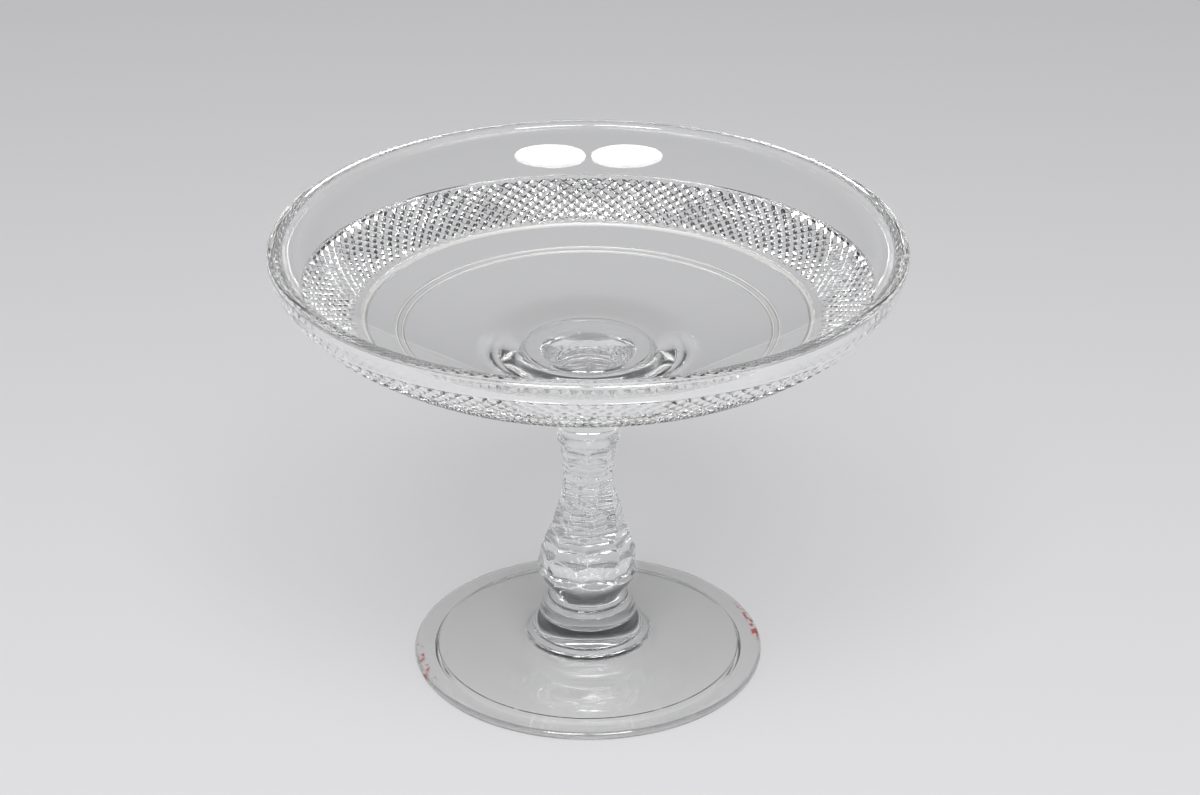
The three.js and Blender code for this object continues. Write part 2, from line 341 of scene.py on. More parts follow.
def shade(piece: Piece, angle: float = SHARP_ANGLE) -> None:
    """Shades curved faces smooth and keeps edges sharper than the angle."""
    pick(piece)
    bpy.ops.object.shade_smooth_by_angle(angle=angle)


def turned_gather(name: str, outline: Outline, columns: int, joints: Iterable[Pair]) -> Piece:
    """Turns a whole gather of glass.

    Args:
        name: Name of the piece.
        outline: Its half outline, from axis to axis.
        columns: How many columns go round it.
        joints: Height and radius of each fused joint.

    Returns:
        The closed piece, shaded, with its joints marked.
    """
    piece = joined(name, [turned(name, outline, columns)])
    for height, radius in joints:
        mark_joint(piece, height, radius)
    shade(piece)
    return piece


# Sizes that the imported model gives


def top_of(node: str) -> float:
    """Height of a node's top, as the default of a field."""
    return field(default_factory=lambda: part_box(node)[1].z)


def radius_of(node: str) -> float:
    """Largest radius of a node, as the default of a field."""
    return field(default_factory=lambda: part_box(node)[1].x)


@dataclass(frozen=True)
class Stack:
    """Heights of the flat joints, from the table up, and the radii of the gathers."""

    foot_top: float = top_of("foot")
    base_wafer_top: float = top_of("base_wafer")
    drum_top: float = top_of("drum_collar")
    bead_top: float = top_of("neck_bead")
    stem_top: float = top_of("faceted_stem")
    top_wafer_top: float = top_of("bowl_wafer")
    rim_top: float = top_of("bowl")
    foot_radius: float = radius_of("foot")
    base_wafer_radius: float = radius_of("base_wafer")
    drum_radius: float = radius_of("drum_collar")
    bead_radius: float = radius_of("neck_bead")
    top_wafer_radius: float = radius_of("bowl_wafer")
    rim_radius: float = radius_of("bowl")
    drum_seat: float = 20.2 * MM
    bead_seat: float = 14.1 * MM
    bulb_seat: float = 12.4 * MM
    capital_seat: float = 17.5 * MM

    @property
    def base_wafer_seat(self) -> float:
        """Radius of the joint below the base wafer."""
        return self.base_wafer_radius - (self.base_wafer_top - self.foot_top) / 2

    @property
    def top_wafer_seat(self) -> float:
        """Radius of the joint above the top wafer."""
        return self.top_wafer_radius - (self.top_wafer_top - self.stem_top) / 2


# Node trees


class NodeBench:
    """A shader node tree under construction."""

    def __init__(self, tree: Tree) -> None:
        """Takes up the tree."""
        self.tree = tree

    def feed(self, node: bpy.types.Node, inputs: Inputs) -> None:
        """Feeds a node's inputs.

        Args:
            node: The node.
            inputs: By an input's name or place, its value or the socket that gives it.
        """
        for label, value in inputs.items():
            if isinstance(value, Socket):
                self.tree.links.new(value, node.inputs[label])
            else:
                node.inputs[label].default_value = value

    def add(self, kind: str, inputs: Inputs | None = None) -> bpy.types.Node:
        """Adds a node and feeds its inputs.

        Args:
            kind: Its kind, without the ShaderNode in front.
            inputs: What its inputs get.

        Returns:
            The node.
        """
        node = self.tree.nodes.new("ShaderNode" + kind)
        self.feed(node, inputs or {})
        return node


class EffectGroup(NodeBench):
    """A node group that finishes share, with float inputs and outputs."""

    def __init__(self, name: str, inputs: dict[str, float], outputs: Iterable[str]) -> None:
        """Makes the group.

        Args:
            name: Name of the group.
            inputs: Each input's name and value at the start.
            outputs: Names of the outputs.
        """
        super().__init__(bpy.data.node_groups.new(name, "ShaderNodeTree"))
        sockets = self.tree.interface
        for label, value in inputs.items():
            socket = sockets.new_socket(label, in_out="INPUT", socket_type="NodeSocketFloat")
            socket.default_value = value
        for label in outputs:
            sockets.new_socket(label, in_out="OUTPUT", socket_type="NodeSocketFloat")
        self.entry = self.tree.nodes.new("NodeGroupInput").outputs
        self.exit = self.tree.nodes.new("NodeGroupOutput")

    def give(self, **results: Socket) -> Tree:
        """Puts the results out of the group and hands the group over."""
        self.feed(self.exit, results)
        return self.tree

    def position(self, stretch: Triple = (1, 1, 1)) -> Socket:
        """Object coordinates in metres, stretched along each axis."""
        source = self.add("TexCoord").outputs["Object"]
        return self.add("Mapping", {"Scale": stretch, "Vector": source}).outputs["Vector"]

    def noise(self, scale: float, detail: float, stretch: Triple = (1, 1, 1)) -> Socket:
        """Noise over the piece, from 0 to 1.

        Args:
            scale: Patches to the metre.
            detail: Octaves of finer noise.
            stretch: Scale of each axis.

        Returns:
            The noise value's socket.
        """
        inputs = {"Scale": scale, "Detail": detail, "Vector": self.position(stretch)}
        return self.add("TexNoise", inputs).outputs["Fac"]

    def spread(self, source: Socket, low: float, high: float, to_low: float = 0,
               to_high: float = 1) -> Socket:
        """Maps a value smoothly from one range to another.

        Args:
            source: The value.
            low: Where the range starts.
            high: Where it ends.
            to_low: What the start becomes.
            to_high: What the end becomes.

        Returns:
            The mapped value's socket.
        """
        node = self.add("MapRange", {"Value": source, "From Min": low, "From Max": high,
                                     "To Min": to_low, "To Max": to_high})
        node.interpolation_type = "SMOOTHSTEP"
        return node.outputs["Result"]

    def combine(self, operation: str, *values: Socket) -> Socket:
        """Joins one or two values by a Math node.

        Args:
            operation: What the node does with them.
            values: The values, in order.

        Returns:
            The result's socket.
        """
        node = self.add("Math", dict(enumerate(values)))
        node.operation = operation
        return node.outputs["Value"]

    def product(self, *values: Socket) -> Socket:
        """Multiplies values, one after the other."""
        return reduce(lambda first, second: self.combine("MULTIPLY", first, second), values)


def grinding_group() -> Tree:
    """Grain of ground glass: fine pits and lines that the cutting wheel leaves."""
    group = EffectGroup("wheel_grinding", {"Base": 0.2, "Spread": 0.1}, ("Roughness", "Height"))
    patches = group.spread(group.noise(420, 3), 0.35, 0.65)
    rough = group.product(patches, group.entry["Spread"])
    pits, lines = group.noise(5200, 2), group.noise(1800, 1, (1, 1, 6))
    return group.give(Roughness=group.combine("ADD", rough, group.entry["Base"]),
                      Height=group.combine("ADD", pits, lines))


def handling_group() -> Tree:
    """Hand polish and use: slow waves in the surface, faint haze and fine scratches."""
    group = EffectGroup("hand_polish", {"Haze": 0.02, "Scratches": 0.05}, ("Roughness", "Height"))
    haze = group.spread(group.noise(26, 4), 0.5, 0.75)
    scratches = group.combine("MAXIMUM", group.spread(group.noise(900, 1, (1, 0.06, 1)), 0.7, 0.76),
                              group.spread(group.noise(760, 1, (0.07, 1, 1)), 0.71, 0.76))
    rough = group.product(haze, group.entry["Haze"])
    marks = group.product(scratches, group.entry["Scratches"])
    return group.give(Roughness=group.combine("ADD", rough, marks), Height=group.noise(38, 1))


def wax_group() -> Tree:
    """Mask of the red wax left on the edge of the foot, left of the front and right of the back."""
    group = EffectGroup("wax_traces", {"Edge": 62.2 * MM}, ("Mask",))
    parts = group.add("SeparateXYZ", {"Vector": group.position()}).outputs
    x, y = parts["X"], parts["Y"]
    squares = group.combine("ADD", group.product(x, x), group.product(y, y))
    outside = group.combine("SUBTRACT", group.combine("SQRT", squares), group.entry["Edge"])
    along = group.product(group.combine("SIGN", x), y)
    return group.give(Mask=group.product(
        group.spread(outside, 0, 0.8 * MM), group.spread(along, 0, 4 * MM),
        group.spread(along, 24 * MM, 31 * MM, 1, 0), group.spread(group.noise(260, 3), 0.47, 0.58)))


# Finishes


class Finish(NodeBench):
    """A material under construction, with one Principled shader."""

    def __init__(self, name: str) -> None:
        """Makes the material, its shader and its output."""
        self.material = bpy.data.materials.new(name)
        self.material.use_nodes = True
        super().__init__(self.material.node_tree)
        self.shader = self.tree.nodes["Principled BSDF"]
        self.output = self.tree.nodes["Material Output"]

    def effect(self, group: Tree, values: dict[str, float]) -> bpy.types.NodeInputs:
        """Places a node group in the material with its own values.

        Args:
            group: The group.
            values: What its inputs get.

        Returns:
            Its outputs.
        """
        node = self.add("Group")
        node.node_tree = group
        self.feed(node, values)
        return node.outputs

    def glaze(self, tint: Triple, clearness: float, shadow_tint: Triple) -> None:
        """Makes the material glass that lets the lamps through, so that its shadow is a light one.

        Args:
            tint: Colour of the glass.
            clearness: Share of the light that passes the surface.
            shadow_tint: Share of the lamps' light that its shadow keeps.
        """
        self.feed(self.shader, {"Base Color": (*tint, 1), "IOR": GLASS_INDEX,
                                "Transmission Weight": clearness})
        clear = self.add("BsdfTransparent", {"Color": (*shadow_tint, 1)})
        mix = self.add("MixShader", {"Fac": self.add("LightPath").outputs["Is Shadow Ray"],
                                     1: self.shader.outputs["BSDF"], 2: clear.outputs["BSDF"]})
        self.feed(self.output, {"Surface": mix.outputs["Shader"]})

    def roughen(self, group: Tree, values: dict[str, float], relief: float) -> None:
        """Gives the surface a group's roughness and fine relief.

        Args:
            group: The node group.
            values: Its inputs.
            relief: What its full height is in metres.
        """
        grain = self.effect(group, values)
        bump = self.add("Bump", {"Strength": 1, "Distance": relief, "Height": grain["Height"]})
        self.feed(self.shader, {"Roughness": grain["Roughness"], "Normal": bump.outputs["Normal"]})


@dataclass(frozen=True)
class GlassFinish:
    """Polished colourless glass of one gather."""

    name: str
    tint: Triple
    shadow_tint: Triple = (0.9, 0.9, 0.9)
    haze: float = 0.02
    scratches: float = 0.05
    wave: float = 0.03
    traces: Tree | None = None
    trace_colour: Triple = (0.62, 0.05, 0.04)

    def material(self, handling: Tree) -> Material:
        """Builds the material from the hand-polish group."""
        finish = Finish(self.name)
        finish.glaze(self.tint, 1, self.shadow_tint)
        finish.roughen(handling, {"Haze": self.haze, "Scratches": self.scratches}, self.wave * MM)
        if self.traces:
            mask = finish.effect(self.traces, {})["Mask"]
            blend = finish.add("MixRGB", {"Fac": mask, "Color1": (*self.tint, 1),
                                          "Color2": (*self.trace_colour, 1)})
            finish.feed(finish.shader, {"Base Color": blend.outputs["Color"]})
        return finish.material


@dataclass(frozen=True)
class CutFinish:
    """Glass left satiny by the cutting wheel."""

    name: str
    tint: Triple
    roughness: float
    clearness: float = 1
    shadow_tint: Triple = (0.8, 0.8, 0.8)
    spread: float = 0.1
    pit_depth: float = 0.004

    def material(self, grinding: Tree) -> Material:
        """Builds the material from the grinding group."""
        finish = Finish(self.name)
        finish.glaze(self.tint, self.clearness, self.shadow_tint)
        finish.roughen(grinding, {"Base": self.roughness, "Spread": self.spread}, self.pit_depth * MM)
        return finish.material


@dataclass(frozen=True)
class JointFinish:
    """Glass fused to glass: nothing shows where two gathers meet."""

    name: str = "fused_joint"

    def material(self) -> Material:
        """Builds a material that light passes straight through."""
        finish = Finish(self.name)
        finish.feed(finish.output, {"Surface": finish.add("BsdfTransparent").outputs["BSDF"]})
        finish.tree.nodes.remove(finish.shader)
        return finish.material


@dataclass
class FinishShelf:
    """All finishes of the bowl, built once."""

    grinding: Tree = field(default_factory=grinding_group)
    handling: Tree = field(default_factory=handling_group)
    joint: Material = field(default_factory=lambda: JointFinish().material())

    def __post_init__(self) -> None:
        """Builds the polished and the cut glass."""
        pale_shadow = (0.96, 0.96, 0.96)
        self.bowl, self.stem, self.foot = (finish.material(self.handling) for finish in (
            GlassFinish("bowl_polished", (0.968, 0.97, 0.967)),
            GlassFinish("stem_polished", (0.97, 0.98, 0.98), haze=0.01),
            GlassFinish("foot_polished", (0.968, 0.97, 0.967), pale_shadow, scratches=0.12,
                        traces=wax_group()),
        ))
        self.bowl_cut, self.bowl_groove, self.stem_cut, self.stem_ridge, self.foot_ground = (
            finish.material(self.grinding) for finish in (
                CutFinish("bowl_ring_cut", (0.95, 0.95, 0.93), 0.3, 0.6),
                CutFinish("bowl_diamond_groove", (0.78, 0.77, 0.72), 0.5, 0.5),
                CutFinish("stem_facet_cut", (0.97, 0.98, 0.98), 0.02, spread=0.03),
                CutFinish("stem_worn_ridge", (0.96, 0.97, 0.97), 0.2, 0.8),
                CutFinish("foot_resting_ring", (0.95, 0.95, 0.94), 0.12, shadow_tint=pale_shadow),
            ))

    def dress(self, piece: Piece, polished: Material, *cuts: Material) -> None:
        """Gives a piece its surfaces.

        Args:
            piece: The piece, its faces marked by their kind.
            polished: Its polished glass.
            cuts: Its cut and ground glass, where it has any.
        """
        marks = [polygon.material_index for polygon in piece.data.polygons]
        piece.data.materials.clear()
        for material in (polished, self.joint, *cuts):
            piece.data.materials.append(material)
        piece.data.polygons.foreach_set("material_index", marks)
        piece.data.update()


# The gathers of glass


@dataclass
class Foot:
    """Round foot: resting ring, hollow underside, rounded edge, a line near the edge, low crown."""

    stack: Stack
    columns: int = 256
    edge: float = 3.2 * MM
    edge_round: float = 1.4 * MM
    rest_round: float = 0.1 * MM
    rest_inset: float = 0.3 * MM
    rest_height: float = 0.02 * MM
    line_inset: float = 9.2 * MM
    line_rise: float = 0.95 * MM
    line_depth: float = 0.24 * MM
    crown_radius: float = 27 * MM
    seat_inset: float = 1.6 * MM
    hollow: float = 2.4 * MM
    hollow_edge: float = 1.2 * MM
    ring_width: float = 6.5 * MM

    def __post_init__(self) -> None:
        """Works out the radius of the joint on top."""
        self.seat = self.stack.base_wafer_radius - self.seat_inset

    def outline(self) -> Outline:
        """Half outline from the middle of the underside round to the middle of the top."""
        radius, top, edge, depth = self.stack.foot_radius, self.stack.foot_top, self.edge, self.line_depth
        outer = radius - self.edge_round
        inner = outer - self.ring_width
        line, line_top = radius - self.line_inset, edge + self.line_rise
        rest = self.rest_round
        outline = Outline(0, self.hollow)
        outline.curve((inner / 2, self.hollow), (inner * 0.8, self.hollow),
                      (inner - self.hollow_edge, self.hollow_edge), steps=16)
        outline.round((inner, 0), (inner - rest, rest), steps=4).to(outer - self.rest_inset, 0)
        outline.round((radius, edge / 2), (radius, 0), steps=10)
        outline.round((outer, edge), (radius, edge), steps=10)
        outline.to(line + depth * 2, line_top - depth * 0.4)
        outline.round((line, line_top - depth), (line + depth, line_top - depth), steps=6)
        outline.round((line - depth * 2, line_top), (line - depth, line_top - depth * 0.2), steps=6)
        slope = (top - line_top) / (line - self.crown_radius)
        outline.curve((line * 0.8, line_top + (line * 0.2) * slope * 0.6),
                      (self.crown_radius + line * 0.15, top), (self.crown_radius, top), steps=24)
        return outline.to(self.seat, top).to(0, top)

    def build(self, shelf: FinishShelf) -> Piece:
        """Turns the foot and dresses it."""
        piece = turned_gather("glass_foot", self.outline(), self.columns, [(self.stack.foot_top, self.seat)])
        mark(piece, Face.CUT, lambda c: c.z < self.rest_height)
        shelf.dress(piece, shelf.foot, shelf.foot_ground)
        return piece


@dataclass
class Disc:
    """Disc of glass with a rounded edge between two joints."""

    name: str
    radius: float
    bottom: float
    top: float
    seat_below: float
    seat_above: float
    columns: int = 240

    def outline(self) -> Outline:
        """Half outline from the lower joint to the upper one."""
        half = (self.top - self.bottom) / 2
        flat = self.radius - half
        outline = Outline(0, self.bottom)
        if self.seat_below < flat:
            outline.to(self.seat_below, self.bottom)
        outline.to(flat, self.bottom)
        outline.round((self.radius, self.bottom + half), (self.radius, self.bottom), steps=10)
        outline.round((flat, self.top), (self.radius, self.top), steps=10)
        if self.seat_above < flat:
            outline.to(self.seat_above, self.top)
        return outline.to(0, self.top)

    def build(self, shelf: FinishShelf) -> Piece:
        """Turns the disc and dresses it."""
        joints = [(self.bottom, self.seat_below), (self.top, self.seat_above)]
        piece = turned_gather(self.name, self.outline(), self.columns, joints)
        shelf.dress(piece, shelf.stem)
        return piece


@dataclass
class Drum:
    """Short drum: flat top with a small edge, one cut line, side that widens to a rounded lip."""

    stack: Stack
    columns: int = 240
    lip: float = 1.4 * MM
    lip_inset: float = 0.1 * MM
    edge: float = 0.45 * MM
    top_radius: float = 16.9 * MM
    line_radius: float = 18.1 * MM
    line_height: float = 18.9 * MM
    line_depth: float = 0.3 * MM
    foot_handle: Pair = (0.4 * MM, 3 * MM)
    line_handle: Pair = (0.9 * MM, 2.5 * MM)

    def outline(self) -> Outline:
        """Half outline from the lower joint to the upper one."""
        stack, depth, line, level = self.stack, self.line_depth, self.line_radius, self.line_height
        bottom, top, widest = stack.base_wafer_top, stack.drum_top, stack.drum_radius
        side, groove = widest - self.lip / 2, line - depth
        outline = Outline(0, bottom).to(side, bottom)
        outline.round((widest, bottom + self.lip / 2), (widest, bottom))
        outline.round((side - self.lip_inset, bottom + self.lip), (widest, bottom + self.lip))
        outline.curve((side - self.foot_handle[0], bottom + self.foot_handle[1]),
                      (line + self.line_handle[0], level - self.line_handle[1]),
                      (line, level - depth * 2), steps=14)
        outline.round((groove, level), (groove, level - depth), steps=5)
        outline.round((groove, level + depth * 2), (groove, level + depth), steps=5)
        outline.to(self.top_radius, top - self.edge)
        outline.round((self.top_radius - self.edge, top), (self.top_radius, top))
        return outline.to(stack.bead_seat, top).to(0, top)

    def build(self, shelf: FinishShelf) -> Piece:
        """Turns the drum and dresses it."""
        stack = self.stack
        joints = [(stack.base_wafer_top, stack.drum_seat), (stack.drum_top, stack.bead_seat)]
        piece = turned_gather("turned_drum", self.outline(), self.columns, joints)
        shelf.dress(piece, shelf.stem)
        return piece


@dataclass(frozen=True)
class FacetRow:
    """One row of facets: where it starts and stops above the bead, and where one facet's middle lies."""

    start: float
    stop: float
    degrees_from_front: float


@dataclass
class WheelCuts:
    """Hollow facets that a wheel cuts into a turned blank by eye, each a little unlike its neighbours."""

    blank: Callable[[Array], Array]
    bottom: float
    rows: tuple[FacetRow, ...]
    around: int = 8
    hollow_share: float = 0.11
    cut_below_blank: float = 0.1 * MM
    reach: float = 1.2
    turn_wander: float = 0.04
    height_wander: float = 0.2 * MM
    depth_wander: float = 0.09 * MM
    lean_wander: float = 0.04
    ridge_wear: float = 0.08 * MM
    ridge_reach: float = 0.14 * MM
    seed: int = 23
    far_off: float = 1000 * MM

    def faces(self, turn: Array, height: Array) -> Iterator[Array]:
        """Works out each cut in turn.

        Args:
            turn: Angles of the points.
            height: Heights of the points.

        Yields:
            Radii at which one cut's face lies at the points.
        """
        draw = random.Random(self.seed)
        step = FULL_TURN / self.around
        flat = math.cos(step / 2)
        wander = (self.turn_wander, self.height_wander, self.depth_wander, self.lean_wander)
        for row in self.rows:
            low, high = self.bottom + row.start * MM, self.bottom + row.stop * MM
            span, middle = high - low, (low + high) / 2
            hollow = span * self.hollow_share
            slope = (self.blank(high) - self.blank(low)) / span * flat
            bow = 4 * hollow / span**2
            for index in range(self.around):
                aside, higher, deeper, leaning = (draw.uniform(-1, 1) * most for most in wander)
                place = math.radians(row.degrees_from_front + FRONT_DEGREES) + index * step + aside
                rise = height - middle - higher
                depth = self.blank(middle) * flat - self.cut_below_blank - hollow + deeper
                face = depth + rise * (slope + leaning + rise * bow)
                away = (turn - place + math.pi) % FULL_TURN - math.pi
                face = face / np.cos(np.clip(away, -self.reach, self.reach))
                yield np.where(np.abs(away) < self.reach, face, self.far_off)

    def radius(self, turn: Array, height: Array) -> Array:
        """Radii that blank and cuts leave: the lowest of them, with the ridges between them worn round."""
        blank = self.blank(height)
        depths = sum(np.exp((blank - face) / self.ridge_wear) for face in self.faces(turn, height))
        return blank - self.ridge_wear * np.log(1 + depths)

    def on_ridge(self, turn: Array, height: Array) -> Array:
        """Whether points lie on a ridge, where the two lowest faces are almost equally low."""
        lowest, second = self.blank(height), np.full_like(height, self.far_off)
        for face in self.faces(turn, height):
            second = np.minimum(second, np.maximum(lowest, face))
            lowest = np.minimum(lowest, face)
        return second - lowest < self.ridge_reach


@dataclass
class Stem:
    """Baluster cut all over with hollow facets, with a plain collar and a capital."""

    stack: Stack
    columns: int = 304
    levels: int = 240
    ridge_angle: float = math.radians(50)
    collar_radius: float = 11.7 * MM
    collar_height: float = 4 * MM
    collar_line: float = 0.45 * MM
    flare_handle: Pair = (1.5 * MM, 5 * MM)
    uncut_below: float = 9 * MM
    uncut_above: float = 1 * MM
    blank_samples: int = 1201
    outline_rises: tuple[float, ...] = (0, 12.5, 29.5, 46.5, 66)
    outline_radii: tuple[float, ...] = (12.4, 19.1, 14.7, 10.5, 11.1)
    rows: tuple[FacetRow, ...] = (
        FacetRow(12.0, 19.6, 10), FacetRow(19.6, 25.0, 21.5), FacetRow(25.0, 29.3, 20),
        FacetRow(29.3, 34.3, -13), FacetRow(34.3, 37.7, -11), FacetRow(37.7, 42.0, -11),
        FacetRow(42.0, 48.4, -1), FacetRow(48.4, 53.0, -1), FacetRow(53.0, 59.4, 20.5),
        FacetRow(59.4, 63.4, 20.5),
    )

    def __post_init__(self) -> None:
        """Works out the blank's outline and the cuts."""
        self.bottom = self.stack.bead_top
        self.top_of_cuts = self.bottom + self.outline_rises[-1] * MM
        self.blank_heights = np.linspace(self.bottom - MM, self.top_of_cuts + MM, self.blank_samples)
        self.blank_radii = self.blank_spline(self.blank_heights)
        self.cuts = WheelCuts(self.blank, self.bottom, self.rows)

    def blank_spline(self, heights: Array) -> Array:
        """Radius of the uncut baluster by heights, a smooth curve through its named radii."""
        knots = np.array(self.outline_rises) * MM + self.bottom
        radii = np.array(self.outline_radii) * MM
        slopes = np.gradient(radii, knots)
        index = np.clip(np.searchsorted(knots, heights, side="right") - 1, 0, len(knots) - 2)
        width = knots[index + 1] - knots[index]
        t = (heights - knots[index]) / width
        rise = 3 * t**2 - 2 * t**3
        lean_start = (t**3 - 2 * t**2 + t) * width * slopes[index]
        lean_end = (t**3 - t**2) * width * slopes[index + 1]
        return radii[index] * (1 - rise) + radii[index + 1] * rise + lean_start + lean_end

    def blank(self, height: Array) -> Array:
        """Radius of the uncut baluster."""
        return np.interp(height, self.blank_heights, self.blank_radii)

    def cut_side(self) -> Piece:
        """Lays a fine grid round the blank and presses it down to what the cuts leave."""
        bpy.ops.object.select_all(action="DESELECT")
        bpy.ops.mesh.primitive_grid_add(x_subdivisions=self.columns, y_subdivisions=self.levels, size=2)
        side = name_piece(bpy.context.object, "cut_side")
        places = points_of(side)
        turn = (places[:, 0] + 1) * math.pi
        share = (places[:, 1] + 1) / 2
        height = self.bottom + share * (self.top_of_cuts - self.bottom)
        radius = self.cuts.radius(turn, height)
        move_points(side, np.stack([radius * np.cos(turn), radius * np.sin(turn), height], axis=1))
        return side

    def ends(self) -> list[Piece]:
        """Turns the joint disc below the bulb, and the collar and capital above the cuts."""
        top, seat_radius = self.stack.stem_top, self.stack.capital_seat
        cuts, radius, line = self.top_of_cuts, self.collar_radius, self.collar_line
        seat = Outline(0, self.bottom).to(float(self.blank(self.bottom)), self.bottom)
        collar_top, groove = cuts + line + self.collar_height, radius - line
        upper = Outline(float(self.blank(cuts)), cuts).round((radius, cuts + line), (radius, cuts), steps=6)
        upper.to(radius, collar_top - line * 1.4)
        upper.round((groove, collar_top), (groove, collar_top - line), steps=6)
        upper.round((radius, collar_top + line), (groove, collar_top + line), steps=6)
        upper.curve((radius, (collar_top + top) / 2),
                    (radius + self.flare_handle[0], top - self.flare_handle[1]),
                    (seat_radius, top), steps=24).to(0, top)
        return [turned("bulb_seat", seat, self.columns), turned("collar_and_capital", upper, self.columns)]

    def build(self, shelf: FinishShelf) -> Piece:
        """Cuts all rows, joins them to the plain ends and dresses the stem."""
        piece = joined("cut_stem", [self.cut_side(), *self.ends()])
        lowest, highest = self.bottom + self.uncut_below, self.top_of_cuts - self.uncut_above
        centres = np.array([polygon.center for polygon in piece.data.polygons])
        cut = (centres[:, 2] > lowest) & (centres[:, 2] < highest)
        ridges = cut & self.cuts.on_ridge(np.arctan2(centres[:, 1], centres[:, 0]), centres[:, 2])
        kinds = np.select([ridges, cut], [Face.GROUND.value, Face.CUT.value], Face.POLISHED.value)
        piece.data.polygons.foreach_set("material_index", kinds.astype(np.int32))
        mark_joint(piece, self.bottom, self.stack.bulb_seat)
        mark_joint(piece, self.stack.stem_top, self.stack.capital_seat)
        shade(piece, self.ridge_angle)
        shelf.dress(piece, shelf.stem, shelf.stem_cut, shelf.stem_ridge)
        return piece


